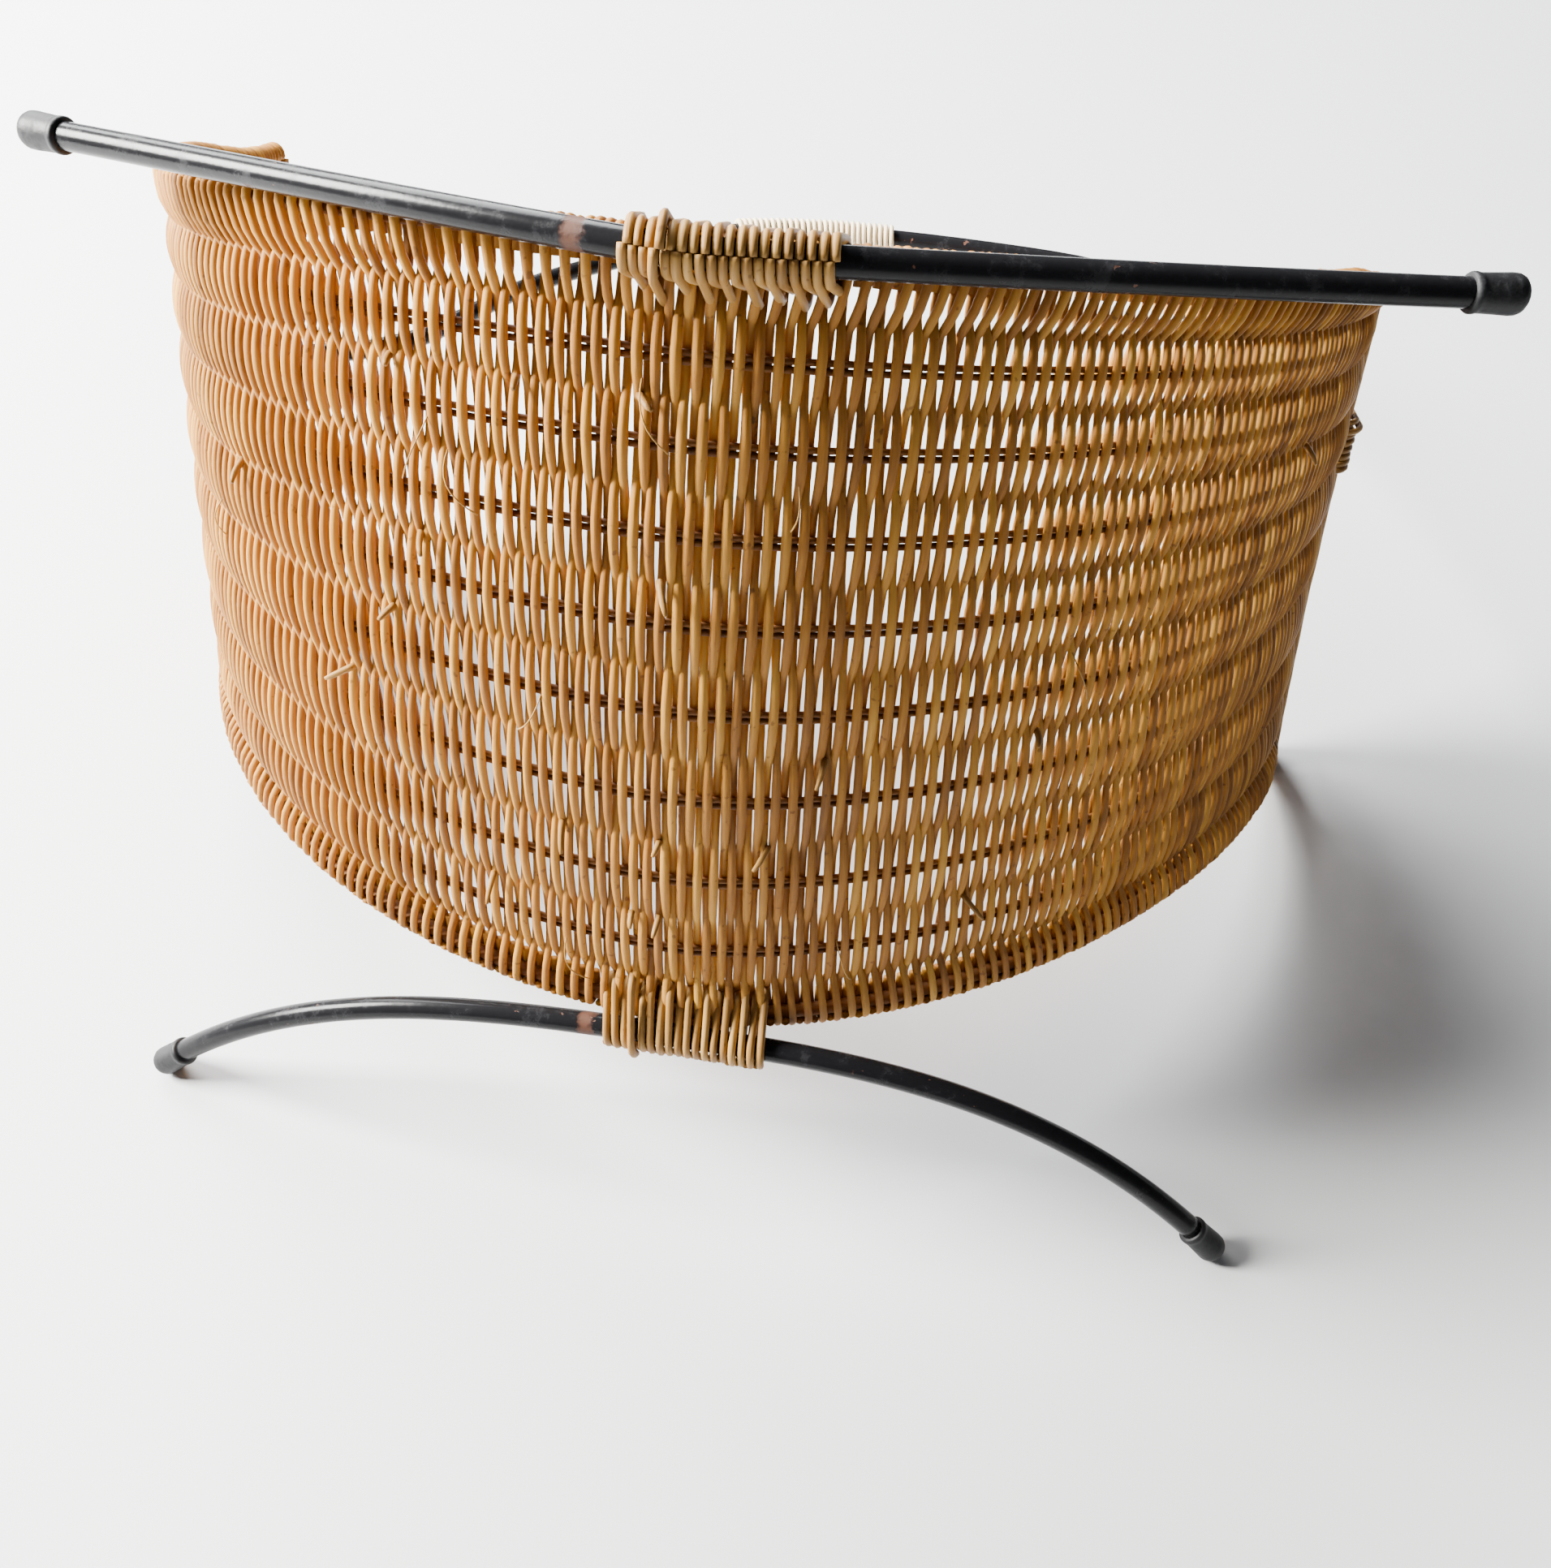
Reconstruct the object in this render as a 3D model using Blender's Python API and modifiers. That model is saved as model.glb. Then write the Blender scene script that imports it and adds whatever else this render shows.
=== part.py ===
"""An empty log basket: a woven rattan trough with a steel bow foot lashed to each end and a steel handle.

The basket is modelled in its own frame and then tipped, as one assembly, into the pose in which it stands
on its end. In its own frame X runs across the trough, Y runs along it towards the end that it stands on
and Z points out of the opening. The lowest line of the trough runs near X = 0, Z = 0.
"""

import math

import bmesh
import bpy
from mathutils import Matrix, Vector

COLLECTION = "rattan_log_basket"
HELPERS = "cutters"
GAP = 0.0003

# Section of the trough: two quarter superellipses that meet at its lowest line.
HALF_WIDTH = 0.273
DEPTH = 0.3137
ROUNDNESS = 1.855
WIDE_SIDE = -0.038
ROUND_SIDE = -0.133
FLARE = 0.016

# How far the soft weave is pulled out of true: the offsets at a station 150 mm from the middle, at REACH
# across or at HEIGHT up.
STATION = 0.150
REACH = 0.280
HEIGHT = 0.200
LEAN = -0.0104
RACK = 0.0263
LIFT_RACK = 0.0251
SHORT_SIDES = -0.0319
BELLY = 0.0099
TWIST = -0.0059
LOPSIDE = 0.0002
SHALLOWER = -0.078
OFF_CENTRE = 0.0001

# Stations along the trough. The weave crosses over between one pair of stakes and the next.
UPPER_RIM = -0.1484
LOWER_RIM = 0.1668
CROSSINGS = (-0.1293, -0.1026, -0.0720, -0.0395, -0.0053, 0.0312, 0.0719, 0.1114, 0.1476)

# Reed stock, and the layers of weave outside and inside the stakes.
REED = 0.0030
LAYER = 0.0030
LAYER_LIFT = 0.5 * (REED + LAYER) + 5 * GAP
PAIR_PITCH = 0.64 * (REED + GAP)
PANELS = 10
PANEL_STEPS = (6, 5)

# Wrapped rims and side rails.
CORE = 0.0060
WRAP_OUTER = 0.0120
RAIL = 0.0130
RAIL_OVERHANG = 0.0140

# Steel rods and their rubber caps.
ROD = 0.0100
CAP_OUTER = 0.0136
CAP_LENGTH = 0.0200
CAP_BORE = 0.0150
TIP_HEIGHT = 0.0024
HEEL_DROP = 0.0016

# The soft bend in the middle of a rod, and the stretch over which a rod stands off a full rim.
BEND = 0.04
STAND_OFF_WAY = (0.31, -0.25, -0.92)
STAND_OFF_PLACE = -0.30
STAND_OFF_WIDTH = 0.35

# Cane lashings: an oblong sleeve round a rod and the rim that it lies along.
LASHED_PITCH = 0.0137
LASHED_STATIONS = (-0.060, -0.028)
LASHING_WALL = 0.0026
LASHING_BORE = 0.5 * RAIL + 0.0014

# The arch of the handle, across and up, in its own leaning plane.
ARCH = (
    (-0.268, 0.3180), (-0.250, 0.325), (-0.233, 0.337), (-0.218, 0.353), (-0.199, 0.388), (-0.182, 0.418),
    (-0.159, 0.446), (-0.134, 0.470), (-0.105, 0.501), (-0.075, 0.523), (-0.027, 0.536), (0.021, 0.541),
    (0.071, 0.542), (0.121, 0.540), (0.150, 0.534), (0.180, 0.517), (0.206, 0.488), (0.226, 0.450),
    (0.240, 0.408), (0.250, 0.368), (0.257, 0.338),
)
ARCH_FOOT = 0.0389
ARCH_SKEW = 0.090
ARCH_LEAN = -0.150
ARCH_BASE = 0.295
HANDLE_TOE = 0.060
GRIP_SPAN = (-0.076, 0.022)
GRIP_OUTER = 0.0160

# Turn of the standing basket about the vertical.
STANDING_TURN = math.radians(8.87)

STRAW = (0.62, 0.40, 0.18)
TAN = (0.48, 0.29, 0.13)
PALE_CANE = (0.80, 0.66, 0.42)
BLACK_STEEL = (0.022, 0.022, 0.026)
BLACK_RUBBER = (0.030, 0.030, 0.032)


class Bow:
    """A steel rod, bent in one plane, that is lashed to the middle of a rim and carries two caps."""

    def __init__(self, name, centre, half_span, rise, power, skew, towards, yaw, tilt, stand_off):
        self.name = name
        self.centre = Vector(centre)
        self.half_span = half_span
        self.rise = rise
        self.power = power
        self.skew = skew
        self.stand_off = Vector(STAND_OFF_WAY) * stand_off
        self.towards = Vector((0.0, math.sin(towards), math.cos(towards)))
        self.across = Vector((math.cos(tilt) * math.cos(yaw), math.sin(tilt) * math.cos(yaw), -math.sin(yaw)))

    def point(self, share):
        """A point of the rod's centre line, from -1 at its left end to 1 at its right end."""
        rise = self.rise * math.hypot(share, BEND) ** self.power * (1.0 + self.skew * share)
        held_off = math.exp(-(((share - STAND_OFF_PLACE) / STAND_OFF_WIDTH) ** 2))
        return self.centre + self.across * self.half_span * share + self.towards * rise + self.stand_off * held_off

    def share_at(self, x):
        """The share of the rod at a place across the trough."""
        return (x - self.centre.x) / (self.half_span * self.across.x)

    def tip(self, side):
        """The outer end of a cap and the unit direction in which it points."""
        end, inner = self.point(side), self.point(side * (1.0 - CAP_LENGTH / self.half_span))
        return end, (end - inner).normalized()


UPPER_BOW = Bow("upper_bow", (0.0139, -0.1522, -0.0168), 0.2577, 0.0815, 1.110, 0.057, 0.109, 0.041, 0.066, 0.014)
LOWER_BOW = Bow("lower_bow", (-0.0141, 0.1771, -0.0028), 0.2440, 0.0881, 2.995, 0.117, 1.426, -0.005, 0.054, 0.0)
UPPER_LASHING = (-0.005, 0.060)
LOWER_LASHING = (-0.037, 0.031)


def section(angle):
    """A point of the section at an angle from -90 (left rim) to 90 degrees (right rim)."""
    side = math.copysign(1.0, angle)
    sine, cosine = abs(math.sin(angle)), max(math.cos(angle), 0.0)
    power = 2.0 / (ROUNDNESS * (1.0 + ROUND_SIDE * side))
    x = side * HALF_WIDTH * (1.0 + WIDE_SIDE * side) * sine**power
    return x, DEPTH * (1.0 - cosine**power)


def arc_table(steps=240):
    """Shares of the section's length, from -1 at the left rim to 1 at the right, with their angles."""
    angles = [math.radians(-90.0 + 180.0 * i / steps) for i in range(steps + 1)]
    spots = [section(angle) for angle in angles]
    run = [0.0]
    for one, two in zip(spots, spots[1:]):
        run.append(run[-1] + math.dist(one, two))
    return [(2.0 * length / run[-1] - 1.0, angle) for length, angle in zip(run, angles)], run[-1]


SHARES, ARC_LENGTH = arc_table()


def angle_at(share):
    """The angle of the section at a share of its length."""
    for (low, start), (high, end) in zip(SHARES, SHARES[1:]):
        if share <= high:
            return start + (end - start) * (max(share, low) - low) / (high - low)
    return SHARES[-1][1]


def surface(share, along):
    """A point of the trough's middle surface."""
    x, z = section(angle_at(share))
    v = along / STATION
    x *= 1.0 + FLARE * v * v
    z *= 1.0 + SHALLOWER * v
    wide, high = x / REACH, z / HEIGHT
    return Vector((
        x + OFF_CENTRE + LEAN * v,
        along + RACK * wide + LIFT_RACK * high + SHORT_SIDES * wide * wide * v,
        z + BELLY * (v * v - 1.0) + TWIST * wide * v + LOPSIDE * wide**3,
    ))


def outward(share, along):
    """The unit normal that points out of the trough's underside."""
    step = 0.004
    middle = min(max(share, step - 1.0), 1.0 - step)
    across = surface(middle + step, along) - surface(middle - step, along)
    down = surface(middle, along + step) - surface(middle, along - step)
    return down.cross(across).normalized()


def share_from_rail(distance):
    """The share of the section at a distance from the side rail."""
    return 1.0 - 2.0 * distance / ARC_LENGTH


def spaced(low, high, count):
    """Evenly spaced values, both ends included."""
    return [low + (high - low) * i / (count - 1) for i in range(count)]


def principled(name, colour, roughness, metallic=0.0):
    """A Principled material of one colour."""
    made = bpy.data.materials.new(name)
    made.use_nodes = True
    shader = made.node_tree.nodes["Principled BSDF"]
    shader.inputs["Base Color"].default_value = (*colour, 1.0)
    shader.inputs["Roughness"].default_value = roughness
    shader.inputs["Metallic"].default_value = metallic
    return made


class Assembly:
    """The collection that holds the basket, and the empty that stands it on its end."""

    def __init__(self):
        for old in list(bpy.data.objects):
            bpy.data.objects.remove(old)
        self.parts = self.collection(COLLECTION)
        self.helpers = self.collection(HELPERS)
        self.stand = bpy.data.objects.new("standing_pose", None)
        self.parts.objects.link(self.stand)
        self.weave = principled("rattan_weave", STRAW, 0.60)
        self.stake = principled("rattan_stake", TAN, 0.65)
        self.cane = principled("cane_lashing", TAN, 0.55)
        self.grip = principled("pale_cane_grip", PALE_CANE, 0.50)
        self.steel = principled("black_steel", BLACK_STEEL, 0.35, 0.3)
        self.rubber = principled("black_rubber", BLACK_RUBBER, 0.65)

    def collection(self, name):
        made = bpy.data.collections.new(name)
        bpy.context.scene.collection.children.link(made)
        return made

    def add(self, name, data, material):
        """Links an object for one sub-part, carried by the standing pose."""
        made = bpy.data.objects.new(name, data)
        data.materials.append(material)
        self.parts.objects.link(made)
        made.parent = self.stand
        return made

    def tube(self, name, points, thickness, material, sides=8, filled=True):
        """A round bar along a line of points."""
        curve = bpy.data.curves.new(name, "CURVE")
        curve.dimensions = "3D"
        curve.bevel_depth = 0.5 * thickness
        curve.bevel_resolution = (sides - 4) // 2
        curve.use_fill_caps = filled
        spline = curve.splines.new("POLY")
        spline.points.add(len(points) - 1)
        for spot, point in zip(spline.points, points):
            spot.co = (*point, 1.0)
        return self.add(name, curve, material)

    def sleeve(self, name, points, outer, bore, material, sides=8):
        """A hollow tube along a line of points."""
        made = self.tube(name, points, outer, material, sides, filled=False)
        wall = made.modifiers.new("wall", "SOLIDIFY")
        wall.thickness = 0.5 * (outer - bore)
        wall.offset = -1.0
        return made

    def as_mesh(self, curve_object):
        """Turns a bar into a closed mesh, so that it can be cut."""
        graph = bpy.context.evaluated_depsgraph_get()
        mesh = bpy.data.meshes.new_from_object(curve_object.evaluated_get(graph))
        shell = bmesh.new()
        shell.from_mesh(mesh)
        bmesh.ops.remove_doubles(shell, verts=shell.verts, dist=0.00001)
        shell.to_mesh(mesh)
        shell.free()
        name, material = curve_object.name, curve_object.data.materials[0]
        bpy.data.objects.remove(curve_object)
        mesh.materials.clear()
        return self.add(name, mesh, material)

    def panel(self, name, shares, stations, lift, material):
        """A plate of weave that follows the trough at a height over its middle surface."""
        shell = bmesh.new()
        bmesh.ops.create_grid(shell, x_segments=PANEL_STEPS[0], y_segments=PANEL_STEPS[1], size=1.0)
        for vert in shell.verts:
            share = shares[0] + (shares[1] - shares[0]) * 0.5 * (vert.co.x + 1.0)
            along = stations[0] + (stations[1] - stations[0]) * 0.5 * (vert.co.y + 1.0)
            vert.co = surface(share, along) + outward(share, along) * lift
        mesh = bpy.data.meshes.new(name)
        shell.to_mesh(mesh)
        shell.free()
        made = self.add(name, mesh, material)
        plate = made.modifiers.new("plate", "SOLIDIFY")
        plate.thickness = LAYER
        plate.offset = 0.0
        return made

    def turned(self, name, profile, place, material, steps=16):
        """A round piece from a profile of radius and height, set on a matrix."""
        mesh = bpy.data.meshes.new(name)
        mesh.from_pydata([(radius, 0.0, height) for radius, height in profile],
                         [(i, i + 1) for i in range(len(profile) - 1)], [])
        made = self.add(name, mesh, material)
        made.matrix_local = place
        screw = made.modifiers.new("turn", "SCREW")
        screw.steps = screw.render_steps = steps
        screw.use_merge_vertices = True
        screw.merge_threshold = 0.00001
        return made


def oblong(radius, pitch, corner_steps=6):
    """The outline of two half circles a pitch apart, joined by straight sides."""
    left = [(math.pi / 2 + math.pi * i / corner_steps, 0.0) for i in range(corner_steps + 1)]
    right = [(-math.pi / 2 + math.pi * i / corner_steps, pitch) for i in range(corner_steps + 1)]
    return [(offset + radius * math.cos(turn), radius * math.sin(turn)) for turn, offset in left + right]


def lashing(basket, name, held, rods):
    """The oblong sleeve of cane turns round a rim or rail and the rod that lies along it."""
    shell = bmesh.new()
    rings = []
    for i, (rim, rod) in enumerate(zip(held, rods)):
        before, after = max(i - 1, 0), min(i + 1, len(held) - 1)
        along = (held[after] - held[before]).normalized() + (rods[after] - rods[before]).normalized()
        reach = (rod - rim).normalized()
        side = along.cross(reach).normalized()
        outline = oblong(LASHING_BORE + LASHING_WALL, (rod - rim).length)
        rings.append([shell.verts.new(rim + reach * x + side * y) for x, y in outline])
    for ring, following in zip(rings, rings[1:]):
        for i in range(len(ring)):
            shell.faces.new((ring[i - 1], ring[i], following[i], following[i - 1]))
    bmesh.ops.recalc_face_normals(shell, faces=shell.faces)
    mesh = bpy.data.meshes.new(name)
    shell.to_mesh(mesh)
    shell.free()
    wall = basket.add(name, mesh, basket.cane).modifiers.new("wall", "SOLIDIFY")
    wall.thickness = LASHING_WALL
    wall.offset = -1.0


def weave_and_stakes(basket):
    """The stakes in pairs, and the two layers of weave that hold them between them."""
    stations = (UPPER_RIM + 0.0130, LOWER_RIM - 0.0130)
    end = share_from_rail(0.0130)
    edges = spaced(-end, end, PANELS + 1)
    seam = GAP / ARC_LENGTH
    for number, shares in enumerate(zip(edges, edges[1:]), start=1):
        span = (shares[0] + seam, shares[1] - seam)
        basket.panel(f"weave_outer_{number:02d}", span, stations, LAYER_LIFT, basket.weave)
        basket.panel(f"weave_inner_{number:02d}", span, stations, -LAYER_LIFT, basket.weave)
    for number, (low, high) in enumerate(zip(CROSSINGS, CROSSINGS[1:]), start=1):
        middle = 0.5 * (low + high)
        for letter, side in (("a", -1.0), ("b", 1.0)):
            along = middle + side * PAIR_PITCH
            beside = LASHED_STATIONS[0] - 0.008 < along < LASHED_STATIONS[1] + 0.008
            end = share_from_rail(0.0126 if beside else 0.5 * RAIL + 2 * GAP)
            line = [surface(share, along) for share in spaced(-end, end, 26)]
            basket.tube(f"stake_{number:02d}{letter}", line, REED, basket.stake, sides=6)


def rims_and_rails(basket):
    """The wrapped cores of the two end rims, and the side rails that close the frame."""
    end = share_from_rail(0.5 * RAIL + 0.0030)
    for name, along in (("upper_rim", UPPER_RIM), ("lower_rim", LOWER_RIM)):
        line = [surface(share, along) for share in spaced(-end, end, 37)]
        basket.tube(f"{name}_core", line, CORE, basket.stake)
        basket.sleeve(f"{name}_wrap", line, WRAP_OUTER, CORE + 2 * GAP, basket.weave)
    for name, side in (("left_side_rail", -1.0), ("right_side_rail", 1.0)):
        stations = spaced(UPPER_RIM - RAIL_OVERHANG, LOWER_RIM + RAIL_OVERHANG, 9)
        rail = basket.tube(name, [surface(side, along) for along in stations], RAIL, basket.weave, sides=12)
        basket.as_mesh(rail)


def bow_foot(basket, bow):
    """A bow rod with a blind rubber cap pushed over each end."""
    bore_depth = CAP_BORE - GAP
    ends = []
    for side, word in ((-1.0, "left"), (1.0, "right")):
        tip, direction = bow.tip(side)
        mouth = tip - direction * CAP_LENGTH
        ends.append((mouth, mouth + direction * bore_depth))
        radius, bore = 0.5 * CAP_OUTER, 0.5 * ROD + GAP
        dome = [(radius * math.cos(turn), CAP_LENGTH - 0.6 * radius * (1.0 - math.sin(turn)))
                for turn in spaced(math.pi / 2, 0.0, 5)]
        dome[0] = (0.0, CAP_LENGTH)
        profile = [*dome, (radius, 0.0008), (radius - 0.0008, 0.0), (bore, 0.0), (bore, CAP_BORE), (0.0, CAP_BORE)]
        place = Matrix.Translation(mouth) @ direction.to_track_quat("Z", "Y").to_matrix().to_4x4()
        basket.turned(f"{bow.name}_{word}_cap", profile, place, basket.rubber)
    inner = 1.0 - (CAP_LENGTH + 0.004) / bow.half_span
    line = [bow.point(share) for share in spaced(-inner, inner, 31)]
    rod = [ends[0][1], ends[0][0], *line, ends[1][0], ends[1][1]]
    basket.tube(f"{bow.name}_rod", rod, ROD, basket.steel)


def bow_lashing(basket, bow, span, along):
    """The lashing that holds a bow rod along its rim."""
    rim = [surface(i / 400.0, along) for i in range(-200, 201)]
    places = spaced(*span, 7)
    held = [min(rim, key=lambda spot, x=x: abs(spot.x - x)) for x in places]
    lashing(basket, f"{bow.name}_lashing", held, [bow.point(bow.share_at(x)) for x in places])


def arch_point(x, z):
    """A point of the handle in its leaning plane."""
    return Vector((x, ARCH_FOOT + ARCH_SKEW * x + ARCH_LEAN * (z - ARCH_BASE), z))


def smooth_line(points, steps=2):
    """A Catmull-Rom curve through the points, with a number of steps between each two."""
    padded = [2 * points[0] - points[1], *points, 2 * points[-1] - points[-2]]
    line = []
    for before, start, end, after in zip(padded, padded[1:], padded[2:], padded[3:]):
        for i in range(steps):
            t = i / steps
            line.append(0.5 * (2 * start + (end - before) * t + (2 * before - 5 * start + 4 * end - after) * t**2
                               + (3 * start - before - 3 * end + after) * t**3))
    return [*line, points[-1]]


def handle(basket):
    """The carrying handle: a steel arch with a toe along each side rail, a wrapped grip and two lashings."""
    toes = []
    for side in (-1.0, 1.0):
        lift = Vector((0.0, 0.0, LASHED_PITCH))
        toes.append([surface(side, along) + lift for along in (0.0, -0.008, -0.020, -0.040, -HANDLE_TOE)])
    arch = [arch_point(x, z) for x, z in ARCH]
    line = smooth_line([*reversed(toes[0]), *arch, *toes[1]])
    basket.tube("handle_rod", line, ROD, basket.steel)
    grip = [point for point in line if GRIP_SPAN[0] <= point.x <= GRIP_SPAN[1] and point.z > 0.5]
    basket.sleeve("handle_grip_wrap", grip, GRIP_OUTER, ROD + 2 * GAP, basket.grip, sides=12)
    for word, side in (("left", -1.0), ("right", 1.0)):
        held = [surface(side, along) for along in spaced(*LASHED_STATIONS, 4)]
        lashing(basket, f"{word}_handle_lashing", held, [spot + Vector((0.0, 0.0, LASHED_PITCH)) for spot in held])


def stand_up(basket):
    """Tips the basket onto the caps of its lower bow and the two corners of its lower rim."""
    left, right = LOWER_BOW.tip(-1.0)[0], LOWER_BOW.tip(1.0)[0]
    heel = 0.5 * (surface(-1.0, LOWER_RIM) + surface(1.0, LOWER_RIM)) + Vector((0.0, HEEL_DROP, 0.0))
    up = (right - left).cross(heel - left).normalized()
    up *= -math.copysign(1.0, up.y)
    across = Vector((1.0, 0.0, 0.0))
    across = (across - up * across.dot(up)).normalized()
    across.rotate(Matrix.Rotation(STANDING_TURN, 3, up))
    turn = Matrix((across, up.cross(across), up)).to_4x4()
    basket.stand.matrix_world = Matrix.Translation((0.0, 0.0, TIP_HEIGHT - (turn @ left).z)) @ turn


def rest_on_flats(basket, names):
    """Cuts the pieces that meet the table flat at its height."""
    mesh = bpy.data.meshes.new("table_top")
    block = bmesh.new()
    bmesh.ops.create_cube(block, size=1.0, matrix=Matrix.Translation((0.0, 0.0, -0.05)) @ Matrix.Diagonal((2, 2, 0.1, 1)))
    block.to_mesh(mesh)
    block.free()
    cutter = bpy.data.objects.new("table_top", mesh)
    basket.helpers.objects.link(cutter)
    cutter.hide_render = True
    cutter.display_type = "WIRE"
    for name in names:
        cut = bpy.data.objects[name].modifiers.new("table_flat", "BOOLEAN")
        cut.operation = "DIFFERENCE"
        cut.object = cutter


def centre_on_origin(basket):
    """Slides the standing basket so that the middle of its outline is over the origin."""
    bpy.context.view_layer.update()
    graph = bpy.context.evaluated_depsgraph_get()
    corners = []
    for part in basket.parts.objects:
        if part.type != "EMPTY":
            solid = part.evaluated_get(graph)
            shape = solid.to_mesh()
            corners += [solid.matrix_world @ vert.co for vert in shape.vertices]
            solid.to_mesh_clear()
    for axis in (0, 1):
        values = [corner[axis] for corner in corners]
        basket.stand.location[axis] -= 0.5 * (min(values) + max(values))


def shade(basket):
    """Smooth shading on the round pieces."""
    for part in basket.parts.objects:
        if part.type == "MESH":
            part.data.shade_smooth()


def main():
    basket = Assembly()
    weave_and_stakes(basket)
    rims_and_rails(basket)
    for bow, span, along in ((UPPER_BOW, UPPER_LASHING, UPPER_RIM), (LOWER_BOW, LOWER_LASHING, LOWER_RIM)):
        bow_foot(basket, bow)
        bow_lashing(basket, bow, span, along)
    handle(basket)
    stand_up(basket)
    rest_on_flats(basket, ("lower_bow_left_cap", "lower_bow_right_cap", "left_side_rail", "right_side_rail"))
    centre_on_origin(basket)
    shade(basket)


main()
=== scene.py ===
"""The looks of an empty rattan log basket that stands on its end on a pale floor.

The basket is worked out in its own frame, in which X runs across the trough, Y along it towards the end
that it stands on, and Z out of its opening. A pose then stands it on its two lower caps and two lower
corners.
"""

import bisect
import logging
import math
import random
from dataclasses import dataclass, field
from enum import Enum

import bmesh
import bpy
from mathutils import Matrix, Vector


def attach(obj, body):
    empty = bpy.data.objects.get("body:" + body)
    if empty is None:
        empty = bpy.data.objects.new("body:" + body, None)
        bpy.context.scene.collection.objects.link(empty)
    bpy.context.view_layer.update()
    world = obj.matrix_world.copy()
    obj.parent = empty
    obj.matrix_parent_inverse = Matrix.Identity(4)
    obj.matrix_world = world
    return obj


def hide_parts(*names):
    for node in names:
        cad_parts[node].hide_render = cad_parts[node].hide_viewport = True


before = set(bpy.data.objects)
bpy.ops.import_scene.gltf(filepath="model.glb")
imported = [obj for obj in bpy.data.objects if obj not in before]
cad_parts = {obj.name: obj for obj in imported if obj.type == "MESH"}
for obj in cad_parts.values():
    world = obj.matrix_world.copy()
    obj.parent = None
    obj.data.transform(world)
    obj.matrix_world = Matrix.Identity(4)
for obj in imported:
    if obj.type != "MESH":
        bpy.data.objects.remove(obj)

LOG = logging.getLogger("log_basket")


class Way(Enum):
    """The side of the trough's weave that a strand lies on."""

    OUTSIDE = 1.0
    INSIDE = -1.0

    def other(self) -> "Way":
        """The opposite side."""
        return Way.INSIDE if self is Way.OUTSIDE else Way.OUTSIDE


class Field:
    """A socket's value in shader maths, with the usual operators."""

    def __init__(self, paper: "Paper", socket: bpy.types.NodeSocket) -> None:
        """Keeps the socket and the material that it belongs to."""
        self.paper = paper
        self.socket = socket

    def _math(self, operation: str, *values: "Field | float") -> "Field":
        """Adds a Math node on these values."""
        return self.paper.node("ShaderNodeMath", {"operation": operation}, dict(enumerate(values)))

    def __add__(self, other: "Field | float") -> "Field":
        """The sum of two values."""
        return self._math("ADD", self, other)

    def __radd__(self, other: float) -> "Field":
        """The sum with a number on the left."""
        return self._math("ADD", other, self)

    def __sub__(self, other: "Field | float") -> "Field":
        """The difference of two values."""
        return self._math("SUBTRACT", self, other)

    def __rsub__(self, other: float) -> "Field":
        """A number less this value."""
        return self._math("SUBTRACT", other, self)

    def __mul__(self, other: "Field | float") -> "Field":
        """The product of two values."""
        return self._math("MULTIPLY", self, other)

    def __rmul__(self, other: float) -> "Field":
        """The product with a number on the left."""
        return self._math("MULTIPLY", other, self)

    def between(self, low: float, high: float) -> "Field":
        """A smooth step from 0 at low to 1 at high."""
        values = {"Value": self, "From Min": low, "From Max": high}
        return self.paper.node("ShaderNodeMapRange", {"interpolation_type": "SMOOTHSTEP"}, values)


class Paper:
    """A material's node tree, with one method for its nodes."""

    def __init__(self, name: str) -> None:
        """Starts a material that holds one Principled shader.

        Args:
            name: The material's name.
        """
        self.material = bpy.data.materials.new(name)
        self.material.use_nodes = True
        self.tree = self.material.node_tree
        self.shader = self.tree.nodes["Principled BSDF"]

    def node(self, kind: str, settings: dict, values: dict, out: int | str = 0) -> Field:
        """Adds a node.

        Args:
            kind: The node's type name.
            settings: Attributes of the node, or a ramp's stops under "stops".
            values: Values or fields for its inputs, by index or name.
            out: The output that is returned.

        Returns:
            The output as a field.
        """
        made = self.tree.nodes.new(kind)
        for key, value in settings.items():
            if key == "stops":
                ramp = made.color_ramp
                while len(ramp.elements) < len(value):
                    ramp.elements.new(0.5)
                for stop, (place, colour) in zip(ramp.elements, value):
                    stop.position = place
                    stop.color = (*colour, 1.0)
            else:
                setattr(made, key, value)
        for key, value in values.items():
            self.feed(made.inputs[key], value)
        return Field(self, made.outputs[out])

    def feed(self, socket: bpy.types.NodeSocket, value: "Field | float | tuple") -> None:
        """Links a field to a socket, or sets the socket's own value.

        Args:
            socket: The input that takes the value.
            value: A field, or a number or colour that is the same all over.
        """
        if isinstance(value, Field):
            self.tree.links.new(value.socket, socket)
        else:
            socket.default_value = value

    def mix(self, share: "Field | float", one: "Field | tuple", two: "Field | tuple") -> Field:
        """Mixes two colours.

        Args:
            share: The share of the second colour.
            one: The first colour.
            two: The second colour.

        Returns:
            The mixed colour.
        """
        settings = {"data_type": "RGBA", "blend_type": "MIX", "clamp_factor": True}
        one = one if isinstance(one, Field) else (*one, 1.0)
        two = two if isinstance(two, Field) else (*two, 1.0)
        return self.node("ShaderNodeMix", settings, {0: share, 6: one, 7: two}, 2)

    def noise(self, place: Field, scale: float, detail: float, roughness: float = 0.5) -> Field:
        """Noise from 0 to 1 at a place."""
        values = {"Vector": place, "Scale": scale, "Detail": detail, "Roughness": roughness}
        return self.node("ShaderNodeTexNoise", {}, values, "Fac")

    def bump(self, height: Field, strength: float, distance: float) -> Field:
        """A Bump node's normal from a height."""
        values = {"Strength": strength, "Distance": distance, "Height": height}
        return self.node("ShaderNodeBump", {}, values, "Normal")


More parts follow.
